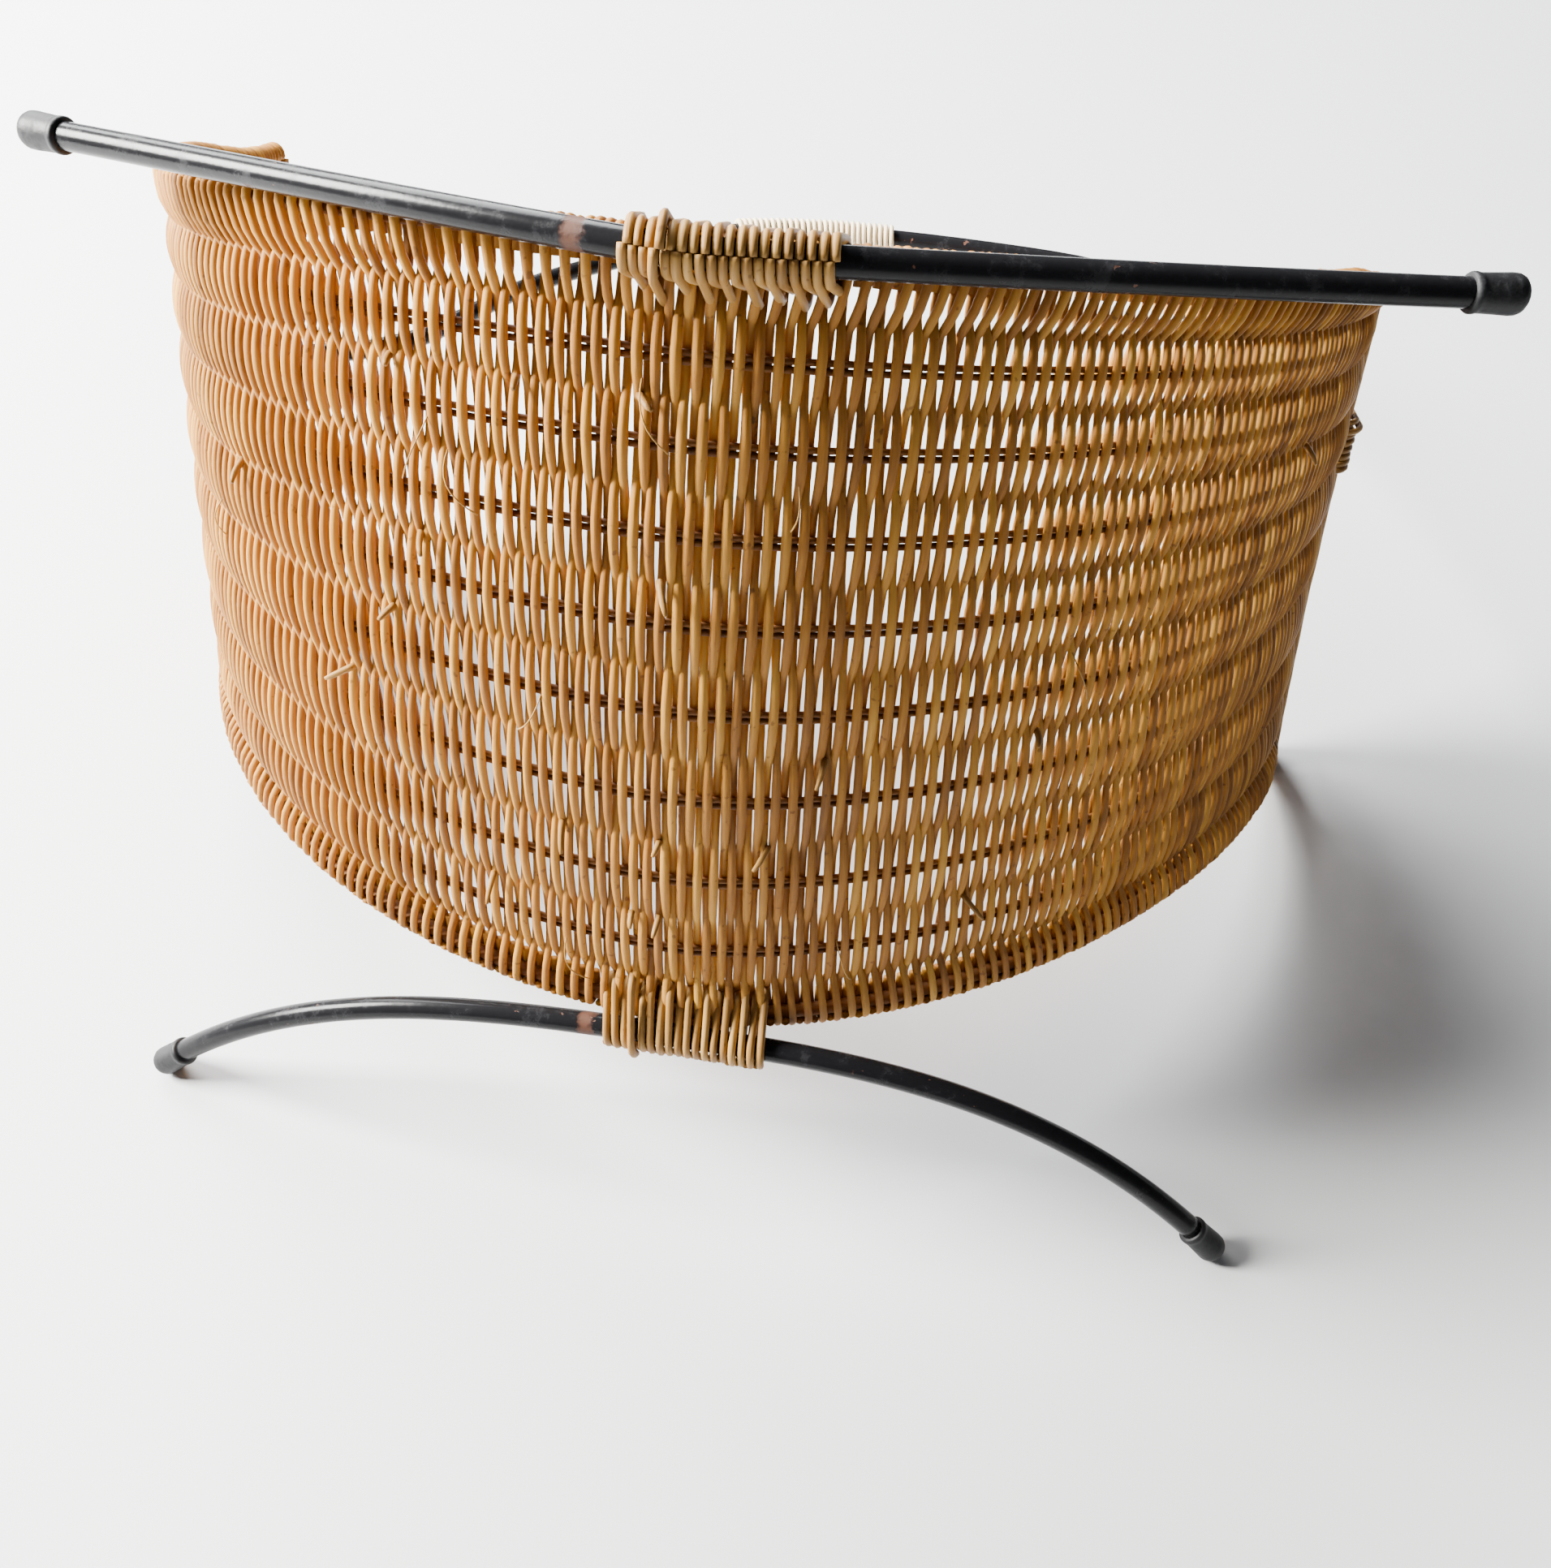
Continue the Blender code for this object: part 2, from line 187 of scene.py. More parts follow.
@dataclass(frozen=True)
class CaneFinish:
    """Dry rattan or split cane: grain along the strand, and a shade of its own for each strand."""

    name: str
    dark: tuple[float, float, float]
    middle: tuple[float, float, float]
    light: tuple[float, float, float]
    roughness: float = 0.55
    stains: float = 0.5

    def material(self) -> bpy.types.Material:
        """Makes the material.

        Returns:
            The material, ready for a mesh.
        """
        paper = Paper(self.name)
        spot = paper.node("ShaderNodeTexCoord", {}, {}, "Object")
        run = paper.node("ShaderNodeUVMap", {"uv_map": "strand_uv"}, {})
        shade = paper.node("ShaderNodeAttribute", {"attribute_name": "strand"}, {}, "Fac")
        along = paper.node("ShaderNodeSeparateXYZ", {}, {0: run})
        around = paper.node("ShaderNodeSeparateXYZ", {}, {0: run}, 1)
        grain_place = paper.node(
            "ShaderNodeCombineXYZ", {}, {0: along * 70.0, 1: around * 9.0, 2: shade * 91.0})
        knot_place = paper.node(
            "ShaderNodeCombineXYZ", {}, {0: along * 22.0, 1: around * 0.6, 2: shade * 57.0})
        grain = paper.noise(grain_place, 1.0, 3.0, 0.6)
        knots = paper.noise(knot_place, 1.0, 2.0)
        stain = paper.noise(spot, 9.0, 3.0)
        tone = shade * 0.42 + grain * 0.42 + knots * 0.40 - 0.12
        colour = paper.node("ShaderNodeValToRGB", {"stops": (
            (0.05, self.dark), (0.45, self.middle), (0.92, self.light))}, {"Fac": tone})
        aged = paper.mix(stain.between(0.52, 0.78) * (0.5 * self.stains), colour, self.dark)
        fleck = paper.noise(spot, 260.0, 2.0).between(0.66, 0.74) * 0.5
        paper.feed(paper.shader.inputs["Base Color"], paper.mix(fleck, aged, self.dark))
        paper.feed(paper.shader.inputs["Roughness"], self.roughness + grain * 0.22 - 0.1)
        paper.feed(paper.shader.inputs["Normal"], paper.bump(grain + knots * 0.4, 0.55, 0.0004))
        paper.shader.inputs["Specular IOR Level"].default_value = 0.22
        return paper.material


@dataclass(frozen=True)
class PaintFinish:
    """Black paint on steel, scuffed, with chips and a little rust."""

    name: str
    bare: tuple[Vector, ...] = ()
    black: tuple[float, float, float] = (0.007, 0.007, 0.008)
    scuffed: tuple[float, float, float] = (0.030, 0.030, 0.033)
    rust: tuple[float, float, float] = (0.085, 0.038, 0.024)

    def material(self) -> bpy.types.Material:
        """Makes the material.

        Returns:
            The material, ready for a mesh.
        """
        paper = Paper(self.name)
        spot = paper.node("ShaderNodeTexCoord", {}, {}, "Object")
        cloud = paper.noise(spot, 30.0, 4.0, 0.6)
        chip = paper.noise(spot, 190.0, 3.0, 0.6)
        chips = chip.between(0.66, 0.69) * cloud.between(0.48, 0.60)
        for place in self.bare:
            reach = paper.node(
                "ShaderNodeVectorMath", {"operation": "DISTANCE"}, {0: spot, 1: place}, "Value")
            chips = chips + (1.0 - (reach + chip * 0.004).between(0.0070, 0.0085)) * 0.9
        scuffs = paper.noise(spot, 75.0, 5.0, 0.75).between(0.50, 0.80)
        paint = paper.mix(scuffs * 0.7, self.black, self.scuffed)
        paper.feed(paper.shader.inputs["Base Color"], paper.mix(chips, paint, self.rust))
        paper.feed(paper.shader.inputs["Roughness"], 0.22 + scuffs * 0.25 + chips * 0.3)
        paper.shader.inputs["Specular IOR Level"].default_value = 0.12
        height = paper.noise(spot, 420.0, 2.0) * 0.35 + paper.noise(spot, 60.0, 2.0) - chips * 0.8
        paper.feed(paper.shader.inputs["Normal"], paper.bump(height, 0.30, 0.0005))
        return paper.material


@dataclass(frozen=True)
class RubberFinish:
    """Matt black rubber, pale where it is rubbed."""

    name: str
    black: tuple[float, float, float] = (0.008, 0.008, 0.009)
    rubbed: tuple[float, float, float] = (0.024, 0.025, 0.027)

    def material(self) -> bpy.types.Material:
        """Makes the material.

        Returns:
            The material, ready for a mesh.
        """
        paper = Paper(self.name)
        spot = paper.node("ShaderNodeTexCoord", {}, {}, "Object")
        worn = paper.noise(spot, 130.0, 5.0, 0.7).between(0.48, 0.75)
        paper.feed(paper.shader.inputs["Base Color"], paper.mix(worn, self.black, self.rubbed))
        paper.feed(paper.shader.inputs["Roughness"], 0.50 + worn * 0.25)
        paper.shader.inputs["Specular IOR Level"].default_value = 0.25
        height = paper.noise(spot, 500.0, 3.0)
        paper.feed(paper.shader.inputs["Normal"], paper.bump(height, 0.35, 0.0005))
        return paper.material


@dataclass(frozen=True)
class FloorFinish:
    """A plain pale floor."""

    name: str = "pale_floor"
    colour: tuple[float, float, float] = (0.64, 0.65, 0.66)

    def material(self) -> bpy.types.Material:
        """Makes the material.

        Returns:
            The material, ready for a mesh.
        """
        paper = Paper(self.name)
        spot = paper.node("ShaderNodeTexCoord", {}, {}, "Object")
        cloud = paper.noise(spot, 3.0, 3.0)
        dull = tuple(0.95 * part for part in self.colour)
        paper.feed(paper.shader.inputs["Base Color"], paper.mix(cloud, self.colour, dull))
        paper.shader.inputs["Roughness"].default_value = 0.85
        return paper.material


@dataclass
class Trough:
    """The trough's middle surface in its own frame, and the pose in which it stands."""

    half_width: float = 0.273
    depth: float = 0.3137
    roundness: float = 1.855
    wide_side: float = -0.038
    round_side: float = -0.133
    flare: float = 0.016
    lean: float = -0.0104
    rack: float = 0.0263
    lift_rack: float = 0.0251
    short_sides: float = -0.0319
    belly: float = 0.0099
    twist: float = -0.0059
    shallower: float = -0.078
    upper_rim: float = -0.1484
    lower_rim: float = 0.1668
    crossings: tuple[float, ...] = (
        -0.1293, -0.1026, -0.0720, -0.0395, -0.0053, 0.0312, 0.0719, 0.1114, 0.1476)
    stand_across: Vector = field(default_factory=lambda: Vector((0.98366, 0.03802, 0.17596)))
    stand_up: Vector = field(default_factory=lambda: Vector((0.09403, -0.94201, -0.32215)))
    seat: Vector = field(default_factory=lambda: Vector((-0.04499, -0.19275, 0.25608)))

    def __post_init__(self) -> None:
        """Works out the table of arc length and the standing pose."""
        self.angles = [math.radians(-90.0 + 0.5 * i) for i in range(361)]
        spots = [self.section(angle) for angle in self.angles]
        self.runs = [0.0]
        for one, two in zip(spots, spots[1:]):
            self.runs.append(self.runs[-1] + math.dist(one, two))
        self.length = self.runs[-1]
        up = self.stand_up.normalized()
        across = (self.stand_across - up * self.stand_across.dot(up)).normalized()
        self.pose = Matrix.Translation(self.seat) @ Matrix((across, up.cross(across), up)).to_4x4()

    def section(self, angle: float) -> tuple[float, float]:
        """A point of the trough's cross section.

        Args:
            angle: The angle in radians, from -pi/2 at the left rail to pi/2 at the right rail.

        Returns:
            The place across and the height.
        """
        side = math.copysign(1.0, angle)
        sine, cosine = abs(math.sin(angle)), max(math.cos(angle), 0.0)
        power = 2.0 / (self.roundness * (1.0 + self.round_side * side))
        half_width = self.half_width * (1.0 + self.wide_side * side)
        return side * half_width * sine**power, self.depth * (1.0 - cosine**power)

    def surface(self, share: float, along: float) -> Vector:
        """A point of the middle surface.

        Args:
            share: The place across, from -1 at the left rail to 1 at the right rail.
            along: The station along the trough.

        Returns:
            The point in the trough's own frame.
        """
        run = min(max(0.5 * (share + 1.0), 0.0), 1.0) * self.length
        i = min(bisect.bisect_right(self.runs, run), len(self.runs) - 1)
        part = (run - self.runs[i - 1]) / (self.runs[i] - self.runs[i - 1])
        x, z = self.section(self.angles[i - 1] + part * (self.angles[i] - self.angles[i - 1]))
        v = along / 0.150
        x *= 1.0 + self.flare * v * v
        z *= 1.0 + self.shallower * v
        wide, high = x / 0.280, z / 0.200
        return Vector((
            x + self.lean * v,
            along + self.rack * wide + self.lift_rack * high + self.short_sides * wide * wide * v,
            z + self.belly * (v * v - 1.0) + self.twist * wide * v,
        ))

    def axes(self, share: float, along: float) -> tuple[Vector, Vector, Vector]:
        """The surface's own directions at a point.

        Args:
            share: The place across, from -1 to 1.
            along: The station along the trough.

        Returns:
            The unit vectors across, down the trough, and out of its underside.
        """
        middle = min(max(share, -0.996), 0.996)
        across = (self.surface(middle + 0.004, along) - self.surface(middle - 0.004, along)).normalized()
        down = (self.surface(middle, along + 0.004) - self.surface(middle, along - 0.004)).normalized()
        return across, down, down.cross(across).normalized()

    def lifted(self, share: float, along: float, lift: float) -> Vector:
        """A point at a height over the underside."""
        return self.surface(share, along) + self.axes(share, along)[2] * lift

    def share_of(self, distance: float) -> float:
        """The change of share over a distance across."""
        return 2.0 * distance / self.length


class Strands:
    """One piece that is made of swept strands."""

    def __init__(self, name: str, trough: Trough, sides: int = 8) -> None:
        """Starts an empty piece.

        Args:
            name: The piece's name.
            trough: The trough whose frame and pose the piece shares.
            sides: The number of faces round a strand.
        """
        self.name = name
        self.trough = trough
        self.sides = sides
        self.shell = bmesh.new()
        self.tint = self.shell.verts.layers.float.new("strand")
        self.uv = self.shell.loops.layers.uv.new("strand_uv")
        self.seams: list[bmesh.types.BMVert] = []

    def lay(self, points: list[Vector], radii: list[float] | float, tint: float, width: float = 1.0,
            facing: Vector | None = None) -> None:
        """Sweeps one strand along points of the trough's frame.

        Args:
            points: The centre line.
            radii: The radius, or one radius for each point.
            tint: The strand's own shade, from 0 to 1.
            width: How much wider than thick the strand is.
            facing: The way that its thin side faces at the start.
        """
        count = len(points)
        sizes = radii if isinstance(radii, list) else [radii] * count
        before, after = [points[0], *points], [*points[1:], points[-1]]
        ways = [(end - start).normalized() for start, end in zip(before, after)]
        normal = facing or ways[0].orthogonal()
        frames, run = [], [0.0]
        for i, way in enumerate(ways):
            normal = (normal - way * normal.dot(way)).normalized()
            frames.append((normal.copy(), way.cross(normal)))
            if i:
                run.append(run[-1] + (points[i] - points[i - 1]).length)
        made = bmesh.ops.create_grid(
            self.shell, x_segments=count - 1, y_segments=self.sides, size=1.0)["verts"]
        places = {}
        for vert in made:
            i = round(0.5 * (vert.co.x + 1.0) * (count - 1))
            j = round(0.5 * (vert.co.y + 1.0) * self.sides)
            places[vert] = (i, j)
            turn = 2.0 * math.pi * j / self.sides
            thin, wide = frames[i]
            vert.co = points[i] + (thin * math.cos(turn) + wide * width * math.sin(turn)) * sizes[i]
            vert[self.tint] = tint
            if j in (0, self.sides):
                self.seams.append(vert)
        for face in {face for vert in made for face in vert.link_faces}:
            for loop in face.loops:
                i, j = places[loop.vert]
                loop[self.uv].uv = (run[i], j / self.sides)

    def cut_flat(self) -> None:
        """Cuts away what would reach below the table."""
        down = self.trough.pose.inverted().to_3x3() @ Vector((0.0, 0.0, -1.0))
        table = self.trough.pose.inverted() @ Vector((0.0, 0.0, 0.0))
        bmesh.ops.remove_doubles(self.shell, verts=self.seams, dist=1e-7)
        self.seams = []
        geometry = [*self.shell.verts, *self.shell.edges, *self.shell.faces]
        bmesh.ops.bisect_plane(
            self.shell, geom=geometry, dist=1e-6, plane_co=table, plane_no=down, clear_outer=True)

    def finish(self, material: bpy.types.Material, slot: str, *nodes: str) -> bpy.types.Object:
        """Closes the strands, stands the piece on the table and hands it to the frame.

        Args:
            material: The piece's material.
            slot: The record's material slot. Not used.
            nodes: The CAD nodes that the piece stands for.

        Returns:
            The finished object.
        """
        bmesh.ops.remove_doubles(self.shell, verts=self.seams, dist=1e-7)
        rims = [edge for edge in self.shell.edges if edge.is_boundary]
        bmesh.ops.holes_fill(self.shell, edges=rims, sides=0)
        bmesh.ops.recalc_face_normals(self.shell, faces=self.shell.faces)
        bmesh.ops.transform(self.shell, matrix=self.trough.pose, verts=self.shell.verts)
        mesh = bpy.data.meshes.new(self.name)
        self.shell.to_mesh(mesh)
        self.shell.free()
        mesh.shade_smooth()
        mesh.materials.append(material)
        made = bpy.data.objects.new(self.name, mesh)
        bpy.context.scene.collection.objects.link(made)
        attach(made, "root")
        if nodes:
            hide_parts(*nodes)
        LOG.info("%s: %d faces", self.name, len(mesh.polygons))
        return made


@dataclass
class Weave:
    """The stakes and the weavers that pass over and under them and turn over the rims."""

    trough: Trough
    pitch: float = 0.0031
    strand: float = 0.00153
    flatness: float = 1.12
    lift: float = 0.0025
    stake: float = 0.0012
    stake_spread: float = 0.0014
    rail: float = 0.0065
    rail_gap: float = 0.0085
    rail_below_rim: float = 0.016
    rail_overhang: float = 0.014
    core: float = 0.0030
    rim_turn: float = 0.0046
    tail_lift: float = 0.0044
    slant: float = 0.0060
    drawn_in: float = 0.014
    corner: float = 0.72
    steps: int = 9
    group: int = 34
    panels: int = 10

    def rim_station(self, rim: float, share: float) -> float:
        """The station of a rim at a place across; the upper rim draws in towards its corners.

        Args:
            rim: The rim's station in the middle.
            share: The place across, from -1 to 1.

        Returns:
            The rim's station there.
        """
        if rim > 0.0:
            return rim
        part = min(max((abs(share) - self.corner) / 0.24, 0.0), 1.0)
        return rim + self.drawn_in * part * part * (3.0 - 2.0 * part)

    def weaver(self, share: float, parity: int,
               chance: random.Random) -> tuple[list[Vector], list[float]]:
        """Follows one weaver from its tip at the upper rim to its tip at the lower rim.

        Args:
            share: The weaver's place across the trough.
            parity: 0 or 1, for the two sets of weavers that alternate.
            chance: The source of the weaver's irregularities.

        Returns:
            The centre line and its radii.
        """
        trough = self.trough
        rows = trough.crossings
        sides = [Way.OUTSIDE if (row + parity) % 2 else Way.INSIDE for row in range(len(rows) - 1)]
        sway = chance.uniform(-1.0, 1.0)
        lean = math.tanh(3.0 * share)
        points, radii = self.turn(share, -1.0, sides[0].other(), lean, chance)
        for side, low, high in zip(sides, rows, rows[1:]):
            for step in range(self.steps):
                t = (step + 0.5) / self.steps
                along = low + (high - low) * t
                wave = 0.00035 * math.sin(37.0 * along + 6.0 * sway)
                drift = wave + chance.uniform(-0.00006, 0.00006)
                lift = side.value * self.lift * math.sin(math.pi * t) ** 0.8
                points.append(trough.lifted(share + trough.share_of(drift), along, lift))
                swell = 0.92 + 0.20 * math.sin(math.pi * t)
                radii.append(self.strand * swell * chance.uniform(0.98, 1.02))
        tail, sizes = self.turn(share, 1.0, sides[-1].other(), 0.6 * lean, chance)
        return points + tail[::-1], radii + sizes[::-1]

    def turn(self, share: float, end: float, side: Way, lean: float,
             chance: random.Random) -> tuple[list[Vector], list[float]]:
        """Turns the end of a weaver round a rim core.

        Args:
            share: The weaver's place across the trough.
            end: -1.0 at the upper rim, 1.0 at the lower rim.
            side: The side on which the weaver comes to the rim.
            lean: How far the weaver slants at the rim.
            chance: The source of the weaver's irregularities.

        Returns:
            The centre line from the tip to the crossing beside the rim, and its radii.
        """
        trough = self.trough
        row = trough.crossings[0] if end < 0.0 else trough.crossings[-1]
        rim = self.rim_station(trough.upper_rim if end < 0.0 else trough.lower_rim, share)
        over = share + trough.share_of(self.slant * lean)
        core = trough.surface(over, rim)
        _, down, out = trough.axes(over, rim)
        reach = self.rim_turn * chance.uniform(0.97, 1.10)
        points, first = [], chance.uniform(0.74, 0.92)
        if side is Way.OUTSIDE:
            points.append(trough.lifted(over, rim + (row - rim) * 0.4, -self.tail_lift))
            first = 1.0
        for i in range(9):
            angle = math.pi * first * (1.0 - i / 8.0)
            aside = out * (side.value * reach * math.cos(angle))
            points.append(core + aside + down * (end * reach * math.sin(angle)))
        for part, lift in ((0.3, 0.0046), (0.6, 0.0038), (0.85, 0.0019)):
            place = share + trough.share_of(self.slant * lean * (1.0 - part))
            points.append(trough.lifted(place, rim + (row - rim) * part, side.value * lift))
        return points, [self.strand * chance.uniform(0.97, 1.06)] * len(points)

    def build(self, finish: bpy.types.Material, stake_finish: bpy.types.Material) -> None:
        """Builds the weavers, the stakes, the side rails and the rim cores.

        Args:
            finish: The material of the weavers and the rails.
            stake_finish: The material of the stakes and the cores.
        """
        chance = random.Random(11)
        self.weavers(finish, chance)
        self.stakes(stake_finish, chance)
        self.rails(finish, chance)
        self.cores(stake_finish)

    def weavers(self, finish: bpy.types.Material, chance: random.Random) -> None:
        """Builds the weavers, a group of them to a piece.

        Args:
            finish: The weavers' material.
            chance: The source of the weave's irregularities.
        """
        trough = self.trough
        end = 1.0 - trough.share_of(self.rail_gap)
        count = int(2.0 * end / trough.share_of(self.pitch)) // 2 * 2
        shares = [-end + 2.0 * end * i / (count - 1) for i in range(count)]
        groups = [shares[i:i + self.group] for i in range(0, count, self.group)]
        numbers = range(1, self.panels + 1)
        nodes = [f"weave_{side}_{i:02d}" for side in ("outer", "inner") for i in numbers]
        nodes += ["upper_rim_wrap", "lower_rim_wrap"]
        for number, part in enumerate(groups, start=1):
            piece = Strands(f"weavers_{number:02d}", trough, 8)
            for i, share in enumerate(part):
                place = share + trough.share_of(chance.uniform(-0.00025, 0.00025))
                points, radii = self.weaver(place, (number * self.group + i) % 2, chance)
                out = trough.axes(place, 0.0)[2]
                tint = min(max(chance.gauss(0.5, 0.24), 0.0), 1.0)
                piece.lay(points, radii, tint, self.flatness, out)
            piece.finish(finish, "rattan_weave", *nodes[number - 1::len(groups)])

    def stakes(self, finish: bpy.types.Material, chance: random.Random) -> None:
        """Builds the pairs of stakes that the weavers pass over and under.

        Args:
            finish: The stakes' material.
            chance: The source of the weave's irregularities.
        """
        trough = self.trough
        piece = Strands("stakes", trough, 10)
        nodes = []
        reach = 1.0 - trough.share_of(0.0035)
        for number, (low, high) in enumerate(zip(trough.crossings, trough.crossings[1:]), start=1):
            for letter, side in (("a", -1.0), ("b", 1.0)):
                along = 0.5 * (low + high) + side * self.stake_spread
                line = [trough.surface(reach * (i / 60.0 - 1.0), along) for i in range(121)]
                piece.lay(line, self.stake, chance.uniform(0.2, 0.8))
                nodes.append(f"stake_{number:02d}{letter}")
        piece.finish(finish, "rattan_stake", *nodes)

    def rails(self, finish: bpy.types.Material, chance: random.Random) -> None:
        """Builds the side rails, each cut flat where it stands on the table.

        Args:
            finish: The rails' material.
            chance: The source of the weave's irregularities.
        """
        trough = self.trough
        low, high = trough.upper_rim + self.rail_below_rim, trough.lower_rim + self.rail_overhang
        for word, side in (("left", -1.0), ("right", 1.0)):
            piece = Strands(f"{word}_rail", trough, 16)
            line = [trough.surface(side, low + (high - low) * i / 30.0) for i in range(31)]
            piece.lay(line, [self.rail * chance.uniform(0.97, 1.03) for _ in line], 0.5)
            piece.cut_flat()
            piece.finish(finish, "rattan_weave", f"{word}_side_rail")

    def cores(self, finish: bpy.types.Material) -> None:
        """Builds the core of each rim, which the weavers turn round.

        Args:
            finish: The cores' material.
        """
        shares = [0.985 * (i / 80.0 - 1.0) for i in range(161)]
        for word, rim in (("upper", self.trough.upper_rim), ("lower", self.trough.lower_rim)):
            piece = Strands(f"{word}_core", self.trough, 12)
            line = [self.trough.surface(share, self.rim_station(rim, share)) for share in shares]
            piece.lay(line, self.core, 0.4)
            piece.finish(finish, "rattan_stake", f"{word}_rim_core")


# Height above the cap's open mouth and radius, from the mouth's lip to the rounded end.
CAP_PROFILE = (
    (0.0000, 0.0056), (0.0003, 0.0062), (0.0010, 0.0066), (0.0022, 0.0066), (0.0028, 0.0063),
    (0.0040, 0.0063), (0.0100, 0.0065), (0.0145, 0.0067), (0.0165, 0.0066), (0.0180, 0.0060),
    (0.0191, 0.0048), (0.0197, 0.0031), (0.0200, 0.0012),
)


@dataclass
class Bow:
    """A bent steel rod under one end of the trough, with a rubber cap on each end.

    The rod rises from its middle as a power of the share, skewed a little to one side, in a plane that the
    angle towards sets; yaw and tilt turn it across the trough, and stand_off bows it clear of the rim.
    """

    name: str
    centre: Vector
    half_span: float
    rise: float
    power: float
    skew: float
    towards: float
    yaw: float
    tilt: float
    stand_off: float
    rod: float = 0.0050
    cap_length: float = 0.020
    bend: float = 0.04
    stand_off_place: float = -0.30
    stand_off_width: float = 0.35
    stand_off_way: Vector = field(default_factory=lambda: Vector((0.31, -0.25, -0.92)))

    def point(self, share: float) -> Vector:
        """A point of the centre line.

        Args:
            share: The place along the rod, from -1 at the left end to 1 at the right.

        Returns:
            The point in the trough's own frame.
        """
        rise = self.rise * math.hypot(share, self.bend) ** self.power * (1.0 + self.skew * share)
        held_off = self.stand_off * math.exp(-(((share - self.stand_off_place) / self.stand_off_width) ** 2))
        level = math.cos(self.yaw)
        across = Vector((math.cos(self.tilt) * level, math.sin(self.tilt) * level, -math.sin(self.yaw)))
        away = self.stand_off_way * held_off
        return (self.centre + across * self.half_span * share
                + Vector((0.0, math.sin(self.towards), math.cos(self.towards))) * rise + away)

    def share_at(self, x: float) -> float:
        """The share of the rod at a place across the trough."""
        return (x - self.centre.x) / (self.half_span * math.cos(self.tilt) * math.cos(self.yaw))

    def build(self, trough: Trough, paint: bpy.types.Material, rubber: bpy.types.Material) -> None:
        """Builds the rod and its caps.

        Args:
            trough: The trough that the rod carries.
            paint: The rod's material.
            rubber: The caps' material.
        """
        reach = 1.0 - 0.012 / self.half_span
        rod = Strands(f"{self.name}_steel", trough, 20)
        rod.lay([self.point(reach * (i / 60.0 - 1.0)) for i in range(121)], self.rod, 0.5)
        rod.finish(paint, "black_steel", f"{self.name}_rod")
        for side, word in ((-1.0, "left"), (1.0, "right")):
            tip = self.point(side)
            way = (tip - self.point(side * (1.0 - self.cap_length / self.half_span))).normalized()
            cap = Strands(f"{self.name}_{word}_rubber", trough, 28)
            line = [tip + way * (height - self.cap_length) for height, _ in CAP_PROFILE]
            cap.lay(line, [size for _, size in CAP_PROFILE], 0.5)
            cap.finish(rubber, "black_rubber", f"{self.name}_{word}_cap")


@dataclass
class Lashing:
    """Turns of cane round a rod and the rim or rail beside it."""

    name: str
    node: str
    turns: int
    strand: float = 0.00158
    held: float = 0.0062
    rod: float = 0.0052
    long_turn: float = 0.0
    steps: int = 26

    def build(self, trough: Trough, rims: list[Vector], rods: list[Vector], way: Vector,
              finish: bpy.types.Material) -> None:
        """Winds the turns.

        Args:
            trough: The trough that the lashing belongs to.
            rims: Points of the rim or rail under the lashing, from one end to the other.
            rods: Points of the rod beside them.
            way: The direction in which every second turn reaches further over the weave.
            finish: The cane's material.
        """
        chance = random.Random(self.turns)
        piece = Strands(self.name, trough, 8)
        for turn in range(self.turns):
            points = []
            loose = chance.uniform(0.0, 0.0008)
            lean = chance.uniform(-0.06, 0.06)
            extra = way * self.long_turn * (chance.uniform(0.7, 1.2) if turn % 2 else 0.15)
            proud = 0.0028 if turn == max(self.turns // 5, 1) else 0.0
            for step in range(self.steps + 1):
                t = step / self.steps
                place = (turn + 0.5 + 0.5 * (t - 0.5) + lean * math.sin(2.0 * math.pi * t)) / self.turns
                rim, rod = self.at(rims, place), self.at(rods, place)
                reach = (rod - rim).normalized()
                side = self.way_of(rods, place, 0.05).cross(reach).normalized()
                angle = 2.0 * math.pi * t
                base, size = (rod, self.rod) if math.cos(angle) > 0.0 else (rim + extra, self.held)
                size += self.strand + loose + proud
                points.append(base + reach * size * math.cos(angle) + side * size * math.sin(angle))
            piece.lay(points, self.strand * chance.uniform(0.92, 1.08), chance.uniform(0.25, 0.95), 1.12)
        piece.finish(finish, "cane_lashing", self.node)

    @staticmethod
    def at(line: list[Vector], place: float) -> Vector:
        """A point at a share of a line.

        Args:
            line: The line's points.
            place: The share, from 0 to 1.

        Returns:
            The point.
        """
        spot = min(max(place, 0.0), 1.0) * (len(line) - 1)
        i = min(int(spot), len(line) - 2)
        return line[i].lerp(line[i + 1], spot - i)

    @staticmethod
    def way_of(line: list[Vector], place: float, reach: float) -> Vector:
        """The unit direction of a line about one of its shares."""
        before, after = max(place - reach, 0.0), min(place + reach, 1.0)
        return (Lashing.at(line, after) - Lashing.at(line, before)).normalized()


